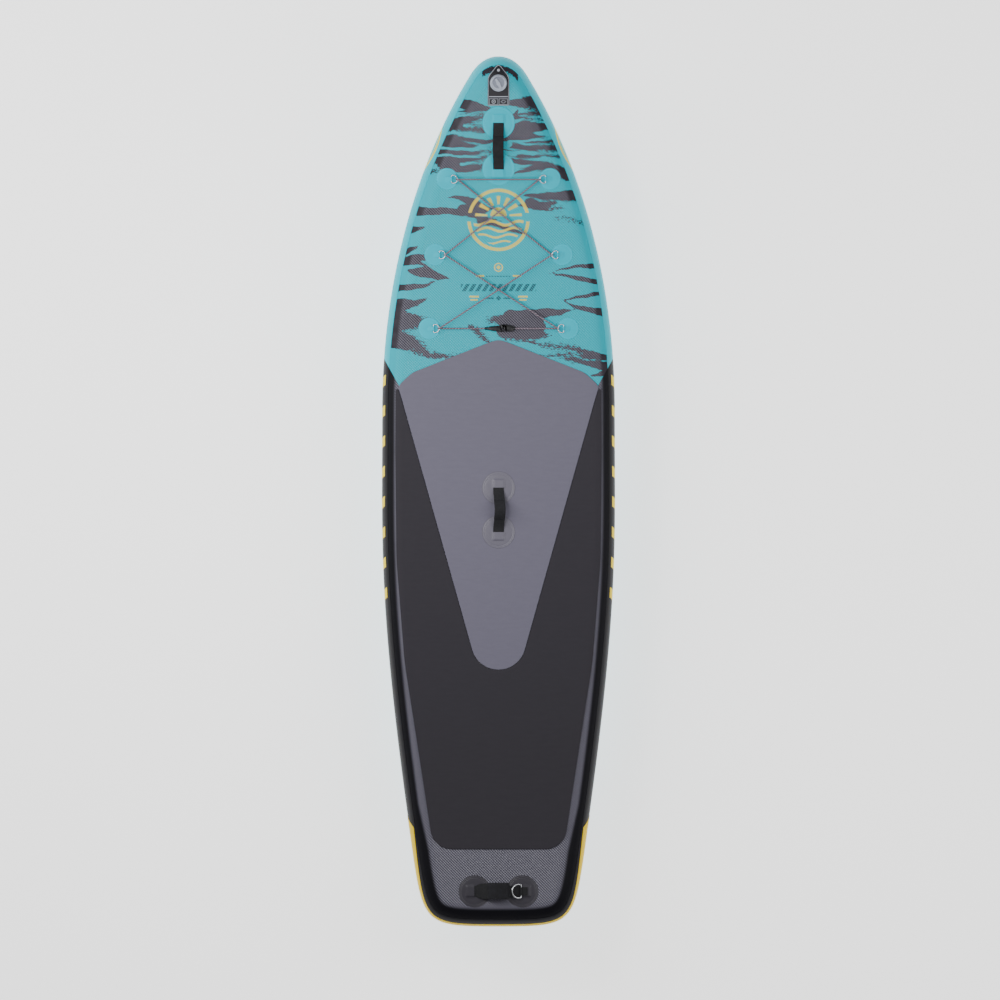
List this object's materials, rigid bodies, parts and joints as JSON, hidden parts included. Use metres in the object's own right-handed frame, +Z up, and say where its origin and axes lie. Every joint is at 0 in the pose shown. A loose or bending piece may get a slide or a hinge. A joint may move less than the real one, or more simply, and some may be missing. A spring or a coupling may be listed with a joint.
{
  "type": "stand up paddleboard",
  "caption": "Inflatable stand up paddleboard with a rockered drop-stitch hull, foam deck pads, webbing handles, laced bungee, inflation valve, leash ring and fins.",
  "frame": {"origin": "centre of the hull's flat bottom face, at half the board's length", "axes": "+Y towards the nose, +Z up out of the deck, +X towards the right-hand rail seen from above with the nose away"},
  "size_m": [0.8594, 3.2051, 0.5065],
  "materials": {
    "rail_pvc": "satin",
    "deck_pvc": "satin",
    "rear_pvc": "satin",
    "hull_pvc": "satin",
    "core_cloth": "matte",
    "band_yellow": "satin",
    "pad_grey": "matte",
    "pad_dark": "matte",
    "patch_teal": "satin",
    "patch_grey": "satin",
    "webbing_black": "matte",
    "neoprene_black": "matte",
    "ring_steel": "polished",
    "cord_grey": "matte",
    "hook_plastic": "satin",
    "valve_grey": "satin",
    "valve_silver": "satin",
    "valve_pin_plastic": "satin",
    "label_black": "satin",
    "fin_black": "satin",
    "clip_grey": "satin"
  },
  "bodies": {
    "hull": {"bottom_skin": "hull_pvc", "bungee_cord": "cord_grey", "bungee_eye": "hook_plastic", "bungee_hook": "hook_plastic", "cargo_front_left_loop": "patch_teal", "cargo_front_left_patch": "patch_teal", "cargo_front_right_loop": "patch_teal", "cargo_front_right_patch": "patch_teal", "cargo_mid_left_loop": "patch_teal", "cargo_mid_left_patch": "patch_teal", "cargo_mid_right_loop": "patch_teal", "cargo_mid_right_patch": "patch_teal", "cargo_rear_left_loop": "patch_teal", "cargo_rear_left_patch": "patch_teal", "cargo_rear_right_loop": "patch_teal", "cargo_rear_right_patch": "patch_teal", "centre_handle_cover_aft": "patch_grey", "centre_handle_cover_fore": "patch_grey", "centre_handle_patch_aft": "patch_grey", "centre_handle_patch_fore": "patch_grey", "centre_handle_strap": "webbing_black", "deck_pad_centre": "pad_grey", "deck_pad_main": "pad_dark", "deck_skin_front": "deck_pvc", "deck_skin_rear": "rear_pvc", "drop_stitch_core": "core_cloth", "fin_box": "fin_black", "front_handle_cover_aft": "patch_teal", "front_handle_cover_fore": "patch_teal", "front_handle_patch_aft": "patch_teal", "front_handle_patch_fore": "patch_teal", "front_handle_strap": "webbing_black", "leash_ring_loop": "webbing_black", "nose_label_patch": "label_black", "rail_left": "rail_pvc", "rail_right": "rail_pvc", "side_fin_left": "fin_black", "side_fin_right": "fin_black", "tail_handle_cover_left": "patch_grey", "tail_handle_cover_right": "patch_grey", "tail_handle_patch_left": "patch_grey", "tail_handle_patch_right": "patch_grey", "tail_handle_strap": "webbing_black", "tail_rail_band": "band_yellow", "valve_back_nut": "valve_grey", "valve_body": "valve_grey"},
    "front_grip": {"front_handle_grip": "neoprene_black"},
    "centre_grip": {"centre_handle_grip": "neoprene_black"},
    "tail_grip": {"tail_handle_grip": "neoprene_black"},
    "leash_ring": {"leash_d_ring": "ring_steel"},
    "valve_cap": {"valve_cap": "valve_silver"},
    "valve_pin": {"valve_pin": "valve_pin_plastic"},
    "centre_fin": {"centre_fin": "fin_black"},
    "fin_clip": {"fin_clip": "clip_grey"},
    "cargo_ring_front_left": {"cargo_front_left_ring": "ring_steel"},
    "cargo_ring_front_right": {"cargo_front_right_ring": "ring_steel"},
    "cargo_ring_mid_left": {"cargo_mid_left_ring": "ring_steel"},
    "cargo_ring_mid_right": {"cargo_mid_right_ring": "ring_steel"},
    "cargo_ring_rear_left": {"cargo_rear_left_ring": "ring_steel"},
    "cargo_ring_rear_right": {"cargo_rear_right_ring": "ring_steel"}
  },
  "joints": [
    {"name": "front_grip_flop", "type": "hinge", "parent": "hull", "child": "front_grip", "pos_m": [0, 1.27392, 0.22718], "axis": [0, 0.9812, 0.1928], "range_deg": [-36, 36], "stiffness_Nm_per_rad": 0.15, "deforming": ["front_handle_strap"]},
    {"name": "centre_grip_flop", "type": "hinge", "parent": "hull", "child": "centre_grip", "pos_m": [0, -0.064, 0.1587], "axis": [0, 1, 0], "range_deg": [-40, 40], "stiffness_Nm_per_rad": 0.15, "deforming": ["centre_handle_strap"]},
    {"name": "tail_grip_flop", "type": "hinge", "parent": "hull", "child": "tail_grip", "pos_m": [0, -1.46887, 0.17303], "axis": [-1, 0, 0], "range_deg": [-30, 30], "stiffness_Nm_per_rad": 0.15, "deforming": ["tail_handle_strap"]},
    {"name": "cargo_ring_front_left_swing", "type": "hinge", "parent": "hull", "child": "cargo_ring_front_left", "pos_m": [-0.173, 1.15304, 0.20986], "axis": [0, -0.987, -0.1605], "range_deg": [-12, 35], "stiffness_Nm_per_rad": 0.05, "deforming": ["bungee_cord"]},
    {"name": "cargo_ring_front_right_swing", "type": "hinge", "parent": "hull", "child": "cargo_ring_front_right", "pos_m": [0.173, 1.15304, 0.20986], "axis": [0, 0.987, 0.1605], "range_deg": [-12, 35], "stiffness_Nm_per_rad": 0.05, "deforming": ["bungee_cord"]},
    {"name": "cargo_ring_mid_left_swing", "type": "hinge", "parent": "hull", "child": "cargo_ring_mid_left", "pos_m": [-0.218, 0.87577, 0.17517], "axis": [0, -0.9961, -0.0885], "range_deg": [-12, 35], "stiffness_Nm_per_rad": 0.05, "deforming": ["bungee_cord"]},
    {"name": "cargo_ring_mid_right_swing", "type": "hinge", "parent": "hull", "child": "cargo_ring_mid_right", "pos_m": [0.218, 0.87577, 0.17517], "axis": [0, 0.9961, 0.0885], "range_deg": [-12, 35], "stiffness_Nm_per_rad": 0.05, "deforming": ["bungee_cord"]},
    {"name": "cargo_ring_rear_left_swing", "type": "hinge", "parent": "hull", "child": "cargo_ring_rear_left", "pos_m": [-0.24, 0.60444, 0.15984], "axis": [0, -0.9997, -0.0262], "range_deg": [-12, 35], "stiffness_Nm_per_rad": 0.05, "deforming": ["bungee_cord"]},
    {"name": "cargo_ring_rear_right_swing", "type": "hinge", "parent": "hull", "child": "cargo_ring_rear_right", "pos_m": [0.24, 0.60444, 0.15984], "axis": [0, 0.9997, 0.0262], "range_deg": [-12, 35], "stiffness_Nm_per_rad": 0.05, "deforming": ["bungee_cord"]},
    {"name": "leash_ring_swing", "type": "hinge", "parent": "hull", "child": "leash_ring", "pos_m": [0.0838, -1.46829, 0.18081], "axis": [0, 0.9972, -0.0743], "range_deg": [0, 125]},
    {"name": "valve_cap_lift", "type": "slide", "parent": "hull", "child": "valve_cap", "axis": [0, -0.2554, 0.9668], "range_m": [0, 0.06]},
    {"name": "valve_pin_press", "type": "slide", "parent": "hull", "child": "valve_pin", "axis": [0, 0.2554, -0.9668], "range_m": [0, 0.005], "stiffness_N_per_m": 400},
    {"name": "centre_fin_slide", "type": "slide", "parent": "hull", "child": "centre_fin", "axis": [0, -0.9992, 0.0407], "range_m": [0, 0.25]},
    {"name": "fin_clip_press", "type": "hinge", "parent": "centre_fin", "child": "fin_clip", "pos_m": [0, -1.32925, 0.00154], "axis": [-1, 0, 0], "range_deg": [0, 5], "stiffness_Nm_per_rad": 0.5}
  ]
}
